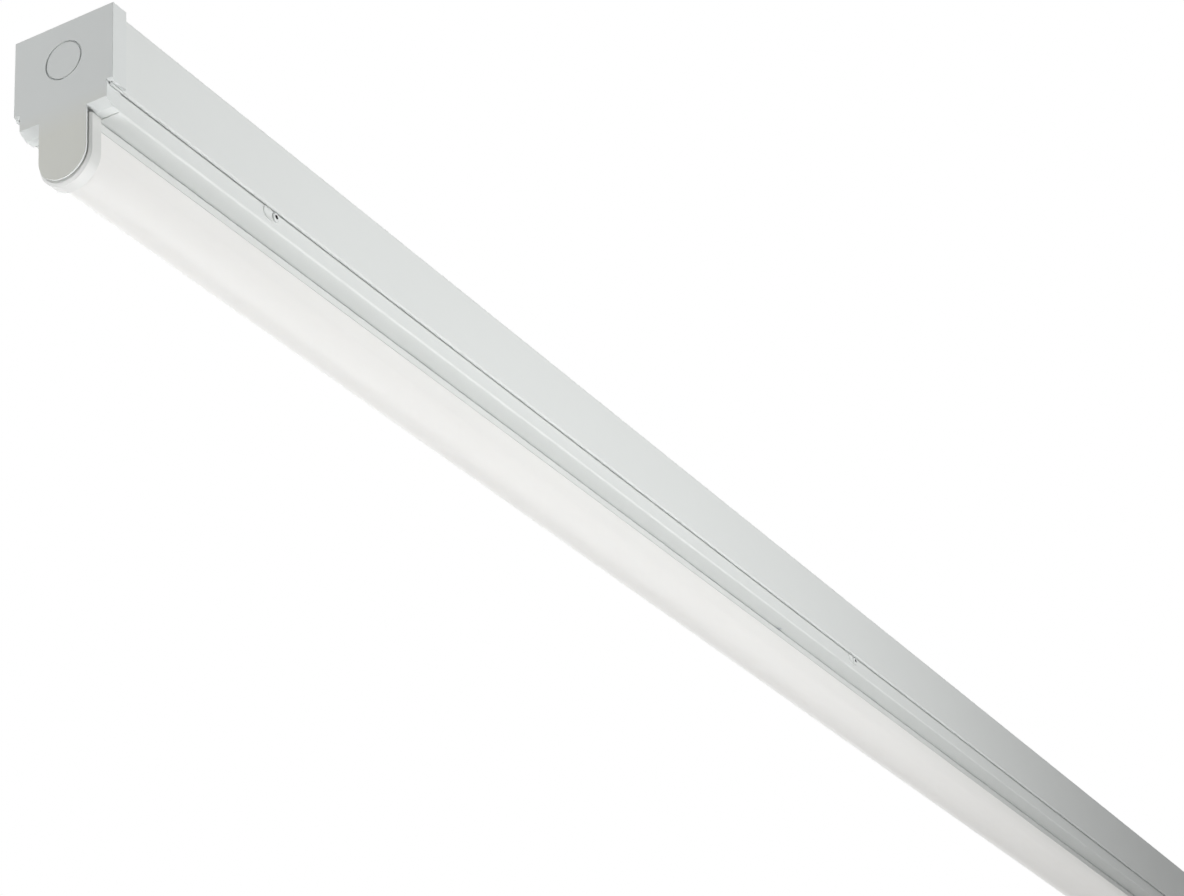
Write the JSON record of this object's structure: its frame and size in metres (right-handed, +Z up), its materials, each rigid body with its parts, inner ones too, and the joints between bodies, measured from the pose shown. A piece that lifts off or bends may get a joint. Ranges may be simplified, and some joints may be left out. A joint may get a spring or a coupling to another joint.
{
  "type": "batten light",
  "caption": "Linear ceiling batten light: folded steel spine, drop-down gear tray with an LED rail under an opal U-shaped diffuser, and moulded end caps with conduit knockouts.",
  "frame": {"origin": "middle of the batten in the ceiling plane, halfway between the two fixing slots", "axes": "+X along the batten away from the end in the foreground of the picture, +Y to the side that the picture doesn't show, +Z up into the ceiling"},
  "size_m": [1.76, 0.0602, 0.0932],
  "materials": {
    "body_paint": "white powder coat, satin",
    "rail_paint": "white painted extrusion",
    "zinc": "zinc plated",
    "cap_plastic": "light grey moulded, fine satin",
    "closure_plastic": "white moulded",
    "opal": "opal, satin",
    "connector_plastic": "off-white moulded",
    "driver_plastic": "white moulded",
    "brass": "plain",
    "black_rubber": "matte",
    "grey_rubber": "matte",
    "board_mask": "white solder mask on laminate",
    "led_lens": "yellow phosphor",
    "mains_insulation": "brown sleeving",
    "earth_insulation": "green sleeving",
    "led_insulation": "red sleeving",
    "sheet_plastic": "translucent film"
  },
  "bodies": {
    "spine": {"spine_channel": "body_paint", "tray_hangers": "zinc", "terminal_block": "connector_plastic", "terminal_screws": "brass", "terminal_rivets": "zinc", "entry_grommet": "black_rubber", "entry_blanks": "grey_rubber"},
    "gear_tray": {"gear_tray": "body_paint", "tray_screws": "body_paint", "tray_nuts": "zinc", "led_rail": "rail_paint", "rail_rivets": "zinc", "led_boards": "board_mask", "led_packages": "led_lens", "board_screws": "zinc", "board_links": "connector_plastic", "board_feed": "connector_plastic", "driver_case": "driver_plastic", "driver_cover": "driver_plastic", "driver_terminals": "connector_plastic", "gear_screws": "zinc", "insulating_sheet": "sheet_plastic", "plug_body": "connector_plastic", "plug_blades": "brass", "mains_leads": "mains_insulation", "earth_lead": "earth_insulation", "earth_stud": "zinc", "earth_nut": "zinc", "led_leads": "led_insulation", "lead_grommet": "black_rubber"},
    "diffuser": {"diffuser": "opal", "diffuser_end_near": "closure_plastic", "diffuser_end_far": "closure_plastic"},
    "end_cap_near": {"end_cap_near": "cap_plastic", "knockout_near": "cap_plastic"},
    "end_cap_far": {"end_cap_far": "cap_plastic", "knockout_far": "cap_plastic"}
  },
  "joints": [
    {"name": "tray_drop", "type": "slide", "parent": "spine", "child": "gear_tray", "axis": [0, 0, -1], "range_m": [0, 0.08]},
    {"name": "diffuser_release", "type": "slide", "parent": "gear_tray", "child": "diffuser", "axis": [0, 0, -1], "range_m": [0, 0.045]},
    {"name": "end_cap_near_pull", "type": "slide", "parent": "spine", "child": "end_cap_near", "axis": [-1, 0, 0], "range_m": [0, 0.03]},
    {"name": "end_cap_far_pull", "type": "slide", "parent": "spine", "child": "end_cap_far", "axis": [1, 0, 0], "range_m": [0, 0.03]}
  ]
}
